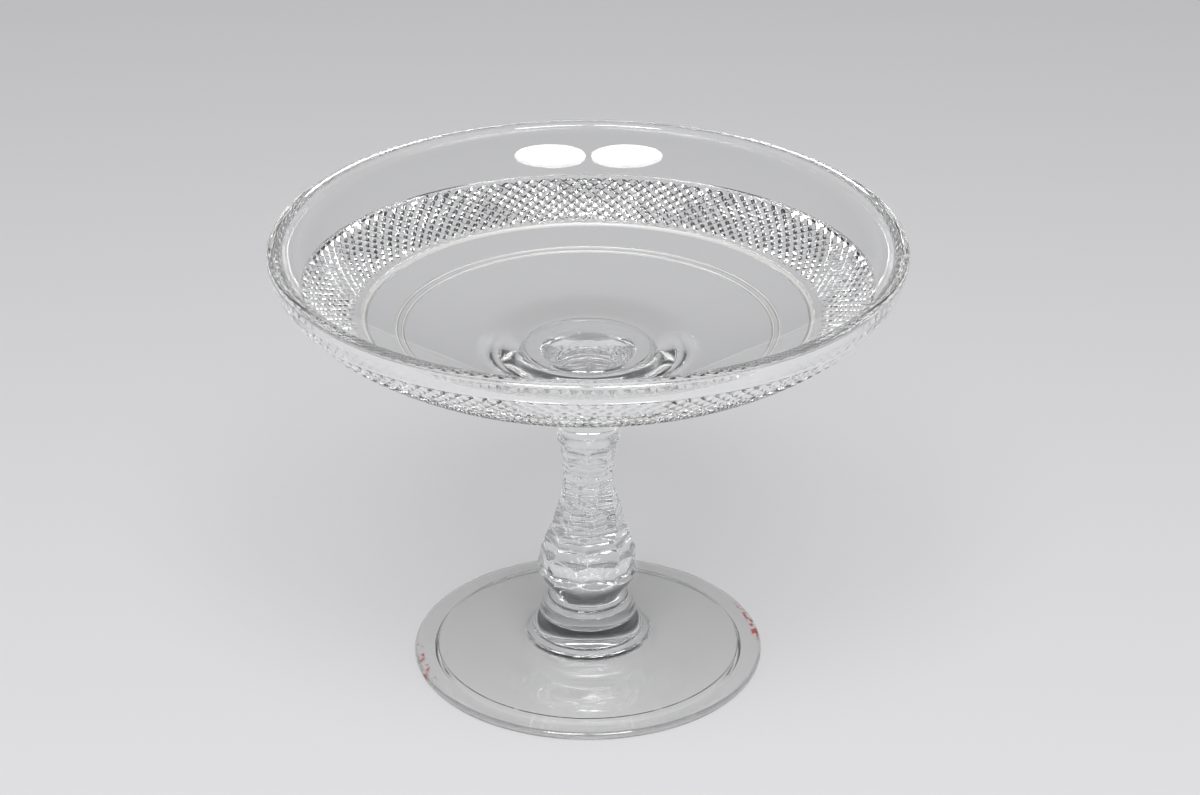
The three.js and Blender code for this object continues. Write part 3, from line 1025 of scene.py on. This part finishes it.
@dataclass
class DiamondBand:
    """Flat-topped diamonds between crossing ground grooves, made as one sheet and wrapped round the wall."""

    wall: WallCurve
    around: int = 128
    rows: int = 5
    depth: float = 1.1 * MM
    groove_half: float = 0.84 * MM
    inner_radius: float = 86.9 * MM
    outer_radius: float = 104.6 * MM
    drift: float = 2.8 * MM
    border_groove: float = 2.1 * MM
    border_depth: float = 0.95 * MM
    run_out: float = 0.9 * MM
    ring_edge: float = 83.9 * MM
    fade_radius: float = 112.6 * MM
    fade_steps: int = 8
    wobble: float = 0.035
    depth_wobble: float = 0.05
    nudge: float = 0.001
    near: float = 0.005
    seed: int = 11

    def __post_init__(self) -> None:
        """Works out the sizes of one diamond on the flat sheet."""
        self.start = float(self.wall.at_radius(self.inner_radius))
        self.stop = float(self.wall.at_radius(self.outer_radius))
        self.pitch = FULL_TURN * (self.inner_radius + self.outer_radius) / 2 / self.around
        self.height = self.stop - self.start
        self.row = self.height / self.rows

    def one_diamond(self) -> Piece:
        """Models one flat-topped diamond with the sides of the grooves round it."""
        bpy.ops.object.select_all(action="DESELECT")
        bpy.ops.mesh.primitive_plane_add(size=math.sqrt(2))
        sheet = name_piece(bpy.context.object, "diamond_sheet")
        start_edit(sheet)
        bpy.ops.transform.rotate(value=math.pi / 4, orient_axis="Z", center_override=(0, 0, 0))
        bpy.ops.transform.resize(value=(self.pitch / 2, self.row / 2, 1), center_override=(0, 0, 0))
        bpy.ops.mesh.inset(thickness=self.groove_half, depth=self.depth)
        bpy.ops.mesh.poke(offset=0)
        bpy.ops.mesh.select_all(action="SELECT")
        bpy.ops.mesh.duplicate_move(TRANSFORM_OT_translate={"value": (self.pitch / 2, self.row / 2, 0)})
        end_edit()
        return sheet

    def repeat(self, sheet: Piece) -> None:
        """Copies the pair of diamonds over the sheet and trims it to the band's width."""
        for label, step, count in (("rows", (0, self.row, 0), self.rows + 1),
                                   ("round", (self.pitch, 0, 0), self.around)):
            array = sheet.modifiers.new(label, "ARRAY")
            array.use_relative_offset = False
            array.use_constant_offset = True
            array.constant_offset_displace = step
            array.count = count
            array.use_merge_vertices = True
            array.merge_threshold = MERGE_DISTANCE
            bpy.ops.object.modifier_apply(modifier=label)
        start_edit(sheet)
        bpy.ops.mesh.remove_doubles(threshold=MERGE_DISTANCE)
        for height, inner in ((0, True), (self.height, False)):
            bpy.ops.mesh.select_all(action="SELECT")
            bpy.ops.mesh.bisect(plane_co=(0, height, 0), plane_no=(0, 1, 0), clear_inner=inner,
                                clear_outer=not inner)
        end_edit()

    def select_row(self, sheet: Piece, height: float) -> None:
        """Selects the border of the sheet that lies at a height."""
        start_edit(sheet)
        bpy.ops.mesh.select_all(action="DESELECT")
        end_edit()
        on_border = np.abs(points_of(sheet)[:, 1] - height) < TOUCH
        sheet.data.vertices.foreach_set("select", on_border)
        ends = np.zeros(len(sheet.data.edges) * 2, dtype=np.int32)
        sheet.data.edges.foreach_get("vertices", ends)
        sheet.data.edges.foreach_set("select", on_border[ends.reshape(-1, 2)].all(axis=1))
        bpy.ops.object.mode_set(mode="EDIT")

    def grow_border(self, sheet: Piece, height: float, step: float, level: float, even: bool) -> float:
        """Extrudes one border of the sheet by a step and lays the new edge level.

        Args:
            sheet: The sheet of diamonds.
            height: Where its border is.
            step: How far the new edge lies from it.
            level: The new edge's level above the groove floors.
            even: Whether the points of the new edge are spaced evenly.

        Returns:
            Where the new border is.
        """
        self.select_row(sheet, height)
        bpy.ops.mesh.extrude_region_move(TRANSFORM_OT_translate={"value": (0, step, 0)})
        end_edit()
        places = points_of(sheet)
        border = np.abs(places[:, 1] - height - step) < TOUCH
        places[border, 2] = level
        if even:
            whole, part = np.divmod(places[border, 0] / self.pitch + self.nudge, 1)
            steps = [part < self.near * 2, part < 0.5 - self.near, part < 0.5 + self.near]
            quarter = np.select(steps, [0, 0.25, 0.5], 0.75)
            places[border, 0] = (whole + quarter) * self.pitch
        move_points(sheet, places)
        return height + step

    def flat_sheet(self) -> Piece:
        """Makes the sheet: diamonds, the mitred groove along the top and plain glass on both sides."""
        sheet = self.one_diamond()
        self.repeat(sheet)
        self.grow_border(sheet, 0, -self.run_out, self.depth, True)
        ring_edge = float(self.wall.at_radius(self.ring_edge)) - self.start
        self.grow_border(sheet, -self.run_out, ring_edge + self.run_out, self.depth, False)
        half = self.border_groove / 2
        top = self.grow_border(sheet, self.height, half, self.depth - self.border_depth, True)
        top = self.grow_border(sheet, top, half, self.depth, False)
        fade_end = float(self.wall.at_radius(self.fade_radius)) - self.start
        step = (fade_end - top) / self.fade_steps
        for _ in range(self.fade_steps):
            top = self.grow_border(sheet, top, step, self.depth, False)
        return sheet

    def lattice_wobble(self, turns: Array, rows: Array) -> tuple[Array, Array, Array]:
        """Moves each groove of the lattice a little, as grooves cut by eye lie.

        Args:
            turns: Places round the band, in diamonds.
            rows: Places up the band, in rows.

        Returns:
            New places round and up, and the share by which the cut is deeper.
        """
        draw = random.Random(self.seed)
        shifts = [np.array([draw.uniform(-1, 1) for _ in range(self.around)]) for _ in range(4)]
        first, second = turns + rows, turns - rows
        look = [np.interp(line, np.arange(self.around), shift, period=self.around)
                for line, shift in zip((first, second, first, second), shifts)]
        first, second = first + look[0] * self.wobble, second + look[1] * self.wobble
        return (first + second) / 2, (first - second) / 2, (look[2] + look[3]) / 2

    def wrap(self, sheet: Piece) -> Piece:
        """Wraps the sheet round the wall, a little off centre, as it was cut."""
        places = points_of(sheet)
        turns, rows = places[:, 0] / self.pitch, places[:, 1] / self.row
        depth = self.depth - places[:, 2]
        inside = (places[:, 1] > -TOUCH) & (places[:, 1] < self.height + TOUCH)
        moved_turns, moved_rows, deeper = self.lattice_wobble(turns, rows)
        border = (np.abs(places[:, 1]) < TOUCH) | (np.abs(places[:, 1] - self.height) < TOUCH)
        turns = np.where(inside, moved_turns, turns)
        rows = np.where(inside & ~border, moved_rows, rows)
        depth = np.where(inside, depth * (1 + deeper * self.depth_wobble), depth)
        angle = turns / self.around * FULL_TURN
        radius = self.wall.radius_at(self.start + rows * self.row)
        shift = -self.drift * np.sin(angle)
        groove_edge = float(self.wall.radius_at(self.stop + self.border_groove))
        edges = (self.ring_edge, self.inner_radius, groove_edge, self.fade_radius)
        fade = np.interp(radius, edges, (0, 1, 1, 0))
        length = self.wall.at_radius(radius + shift * fade)
        ring, height = self.wall.inset(length, depth)
        move_points(sheet, np.stack([ring * np.cos(angle), ring * np.sin(angle), height], axis=1))
        return sheet

    def build(self) -> Piece:
        """Makes the wrapped band, with its cut faces marked."""
        sheet = self.flat_sheet()
        mark(sheet, Face.GROUND, lambda c: c.z < self.depth - TOUCH)
        return self.wrap(sheet)


@dataclass
class Bowl:
    """Shallow bowl: joint disc, boss, floor with ring cuts, diamond band, plain wall, rim, inside."""

    stack: Stack
    boss_radius: float = 43 * MM
    boss_rise: float = 4.6 * MM
    floor_thickness: float = 9.5 * MM
    floor_run: float = 30 * MM
    floor_angle: float = 0.085
    wall_run: float = 18.7 * MM
    wall_angle: float = 1.545
    wall_thickness: float = 5.8 * MM
    rim_crown: float = 1.8 * MM
    ring_depth: float = 0.7 * MM
    ring_steps: int = 8
    rim_steps: int = 16
    inside_steps: int = 44
    wall_steps: int = 5
    inner_drop: float = 0.45 * MM
    floor_step: float = 3 * MM
    columns_per_diamond: int = 4
    rings: tuple[Pair, ...] = ((68.4, 1.5), (70.7, 1.5), (82.6, 2.6))

    def __post_init__(self) -> None:
        """Works out the outer line of the bowl."""
        bottom, top = self.stack.top_wafer_top, self.stack.rim_top
        start = np.array([self.boss_radius, bottom + self.boss_rise])
        end = np.array([self.stack.rim_radius, top - self.rim_crown])
        leave = start + self.floor_run * np.array([math.cos(self.floor_angle), math.sin(self.floor_angle)])
        arrive = end - self.wall_run * np.array([math.cos(self.wall_angle), math.sin(self.wall_angle)])
        self.wall = WallCurve(start, leave, arrive, end)
        self.band = DiamondBand(self.wall)
        self.columns = self.band.around * self.columns_per_diamond

    def underside(self) -> Outline:
        """Half outline from the joint disc over the boss and the ring cuts to the band."""
        wall, radius = self.wall, self.stack.top_wafer_radius
        bottom, slope = self.stack.top_wafer_top, self.wall.slopes[0]
        outline = Outline(0, bottom).to(self.stack.top_wafer_seat, bottom).to(radius, bottom)
        reach = (self.boss_radius - radius) / 3
        outline.curve((radius + reach, bottom + reach * 0.2),
                      (self.boss_radius - reach * slope[0], wall.path[0, 1] - reach * slope[1]),
                      tuple(wall.path[0]), steps=14)
        reached = 0.0
        for ring, width in self.rings:
            middle, half = float(wall.at_radius(ring * MM)), width * MM / 2
            steps = max(1, round((middle - half - reached) / self.floor_step))
            outline.through(wall.points(reached, middle - half, steps))
            for i in range(1, self.ring_steps + 1):
                share = i / self.ring_steps * 2 - 1
                outline.through([wall.inset(middle + share * half, self.ring_depth * (1 - share * share))])
            reached = middle + half
        edge = float(wall.at_radius(self.band.ring_edge))
        return outline.through([wall.inset(edge, 0)])

    def upper_side(self) -> Outline:
        """Half outline from the plain wall over the rim and down the inside to the middle."""
        wall, band = self.wall, self.band
        start = float(wall.at_radius(band.fade_radius))
        outline = Outline(*(float(x) for x in wall.inset(start, 0)))
        outline.through(wall.points(start, wall.length, self.wall_steps))
        outer = np.array(wall.inset(wall.length, 0))
        inner = np.array(wall.inset(wall.length, self.wall_thickness))
        middle = (outer + inner) / 2
        crown = self.stack.rim_top - middle[1]
        for i in range(1, self.rim_steps):
            turn = math.pi * i / self.rim_steps
            across, up = (outer - middle) * math.cos(turn), np.array([0, crown]) * math.sin(turn)
            outline.through([middle + across + up])
        outline.through([inner])
        outline.through(wall.points(wall.length, 0, self.inside_steps, self.wall_thickness))
        floor = self.stack.top_wafer_top + self.floor_thickness
        edge, level = outline.points[-1]
        outline.curve((edge * 0.88, level - self.inner_drop), (edge * 0.6, floor), (edge * 0.35, floor))
        return outline.to(0, floor)

    def mark_rings(self, piece: Piece) -> None:
        """Marks the ring cuts in the underside, which the wheel leaves satiny."""
        wall = self.wall
        for radius, width in self.rings:
            middle = float(wall.at_radius(radius * MM))
            inner, outer = (float(wall.radius_at(middle + side * width * MM / 2)) for side in (-1, 1))
            top = float(wall.inset(middle, self.wall_thickness / 2)[1])
            mark(piece, Face.CUT, lambda c: c.z < top and inner < math.hypot(c.x, c.y) < outer)

    def build(self, shelf: FinishShelf) -> Piece:
        """Turns both sides of the bowl, wraps the diamond band between them and dresses it."""
        parts = [self.band.build(), turned("bowl_underside", self.underside(), self.columns),
                 turned("bowl_upper_side", self.upper_side(), self.columns)]
        piece = joined("cut_bowl", parts)
        mark_joint(piece, self.stack.top_wafer_top, self.stack.top_wafer_seat)
        self.mark_rings(piece)
        shade(piece)
        shelf.dress(piece, shelf.bowl, shelf.bowl_cut, shelf.bowl_groove)
        return piece


# Studio


@dataclass(frozen=True)
class Softbox:
    """A soft lamp that looks at the bowl."""

    name: str
    azimuth: float
    elevation: float = 58
    distance: float = 3.0
    width: float = 1.02
    height: float = 1.65
    power: float = 66

    def place(self, aim: Vector) -> None:
        """Hangs the lamp on its stand.

        Args:
            aim: The point that it looks at.
        """
        azimuth, elevation = math.radians(self.azimuth), math.radians(self.elevation)
        level, rise = self.distance * math.cos(elevation), self.distance * math.sin(elevation)
        away = Vector((level * math.sin(azimuth), -level * math.cos(azimuth), rise))
        bpy.ops.object.light_add(type="AREA", location=aim + away)
        lamp = name_piece(bpy.context.object, self.name)
        lamp.data.shape = "ELLIPSE"
        lamp.data.size, lamp.data.size_y = self.width, self.height
        lamp.data.energy = self.power
        lamp.rotation_euler = (-away).to_track_quat("-Z", "Y").to_euler()


@dataclass
class Studio:
    """Pale floor, soft light and the camera."""

    floor_colour: Triple = (0.6, 0.6, 0.61)
    floor_roughness: float = 0.9
    floor_gloss: float = 0.2
    floor_radius: float = 1.9
    backdrop: Triple = (0.62, 0.63, 0.64)
    horizon: Triple = (0.4, 0.405, 0.41)
    zenith: Triple = (0.05, 0.05, 0.053)
    fade: Pair = (0.03, 0.3)
    focal_length: float = 103.54
    sensor: float = 36
    far_clip: float = 50
    camera_place: Triple = (0.00436, -1.12626, 0.68133)
    camera_pitch: float = 0.47162
    camera_roll: float = 0.0021
    boxes: tuple[Softbox, ...] = (Softbox("left_softbox", -21.5), Softbox("right_softbox", 21.5))
    bounces: int = 32
    glossy_bounces: int = 16

    def floor(self) -> None:
        """Lays the pale floor."""
        bpy.ops.object.select_all(action="DESELECT")
        bpy.ops.mesh.primitive_circle_add(vertices=96, radius=self.floor_radius, fill_type="NGON")
        floor = name_piece(bpy.context.object, "pale_floor")
        finish = Finish("floor_paper")
        finish.feed(finish.shader, {"Base Color": (*self.floor_colour, 1), "Roughness": self.floor_roughness,
                                    "Specular IOR Level": self.floor_gloss})
        floor.data.materials.append(finish.material)

    def surroundings(self) -> None:
        """Makes the room: dim round the glass and dark overhead, with a pale backdrop behind it."""
        world = bpy.data.worlds.new("studio_room")
        bpy.context.scene.world = world
        world.use_nodes = True
        room = NodeBench(world.node_tree)
        parts = room.add("SeparateXYZ", {"Vector": room.add("TexCoord").outputs["Generated"]})
        shades = room.add("ValToRGB", {"Fac": parts.outputs["Z"]})
        for stop, place, colour in zip(shades.color_ramp.elements, self.fade, (self.horizon, self.zenith)):
            stop.position, stop.color = place, (*colour, 1)
        seen = room.add("MixRGB", {"Fac": room.add("LightPath").outputs["Is Camera Ray"],
                                   "Color1": shades.outputs["Color"], "Color2": (*self.backdrop, 1)})
        room.feed(room.tree.nodes["Background"], {"Strength": 1, "Color": seen.outputs["Color"]})

    def camera(self) -> None:
        """Sets the camera where the photograph was taken."""
        pitch = math.pi / 2 - self.camera_pitch
        bpy.ops.object.camera_add(location=self.camera_place, rotation=(pitch, 0, 0))
        camera = bpy.context.object
        camera.name = "photo_camera"
        camera.data.lens = self.focal_length
        camera.data.sensor_width = self.sensor
        camera.data.clip_end = self.far_clip
        camera.rotation_euler.rotate_axis("Z", self.camera_roll)
        bpy.context.scene.camera = camera

    def build(self, stack: Stack) -> None:
        """Sets up floor, room, lamps and camera."""
        self.floor()
        self.surroundings()
        for box in self.boxes:
            box.place(Vector((0, 0, stack.top_wafer_top)))
        self.camera()
        scene = bpy.context.scene
        scene.view_settings.view_transform = "Standard"
        scene.cycles.caustics_refractive = False
        scene.cycles.caustics_reflective = False
        scene.cycles.max_bounces = self.bounces
        scene.cycles.transmission_bounces = self.bounces
        scene.cycles.transparent_max_bounces = self.bounces
        scene.cycles.glossy_bounces = self.glossy_bounces


@dataclass(frozen=True)
class Placed:
    """A finished piece, the node it stands for and its material slot."""

    piece: Piece
    node: str
    slot: Slot

    def settle(self) -> None:
        """Ties the piece to the body, hides the node it stands for, and reports it."""
        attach(self.piece, "root")
        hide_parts(self.node)
        log.info("%s stands for %s with %d faces", self.piece.name, self.node, len(self.piece.data.polygons))


def main() -> None:
    """Builds the bowl from the table up, then the studio round it."""
    logging.basicConfig(level=logging.INFO, format="%(name)s: %(message)s")
    stack = Stack()
    shelf = FinishShelf()
    base_wafer = Disc("base_disc", stack.base_wafer_radius, stack.foot_top, stack.base_wafer_top,
                      stack.base_wafer_seat, stack.drum_seat)
    bead = Disc("bead_ring", stack.bead_radius, stack.drum_top, stack.bead_top,
                stack.bead_seat, stack.bulb_seat)
    top_wafer = Disc("top_disc", stack.top_wafer_radius, stack.stem_top, stack.top_wafer_top,
                     stack.capital_seat, stack.top_wafer_seat)
    for placed in (
        Placed(Foot(stack).build(shelf), "foot", Slot.FOOT),
        Placed(base_wafer.build(shelf), "base_wafer", Slot.STEM),
        Placed(Drum(stack).build(shelf), "drum_collar", Slot.STEM),
        Placed(bead.build(shelf), "neck_bead", Slot.STEM),
        Placed(Stem(stack).build(shelf), "faceted_stem", Slot.STEM),
        Placed(top_wafer.build(shelf), "bowl_wafer", Slot.STEM),
        Placed(Bowl(stack).build(shelf), "bowl", Slot.BOWL),
    ):
        placed.settle()
    Studio().build(stack)


if __name__ == "__main__":
    main()
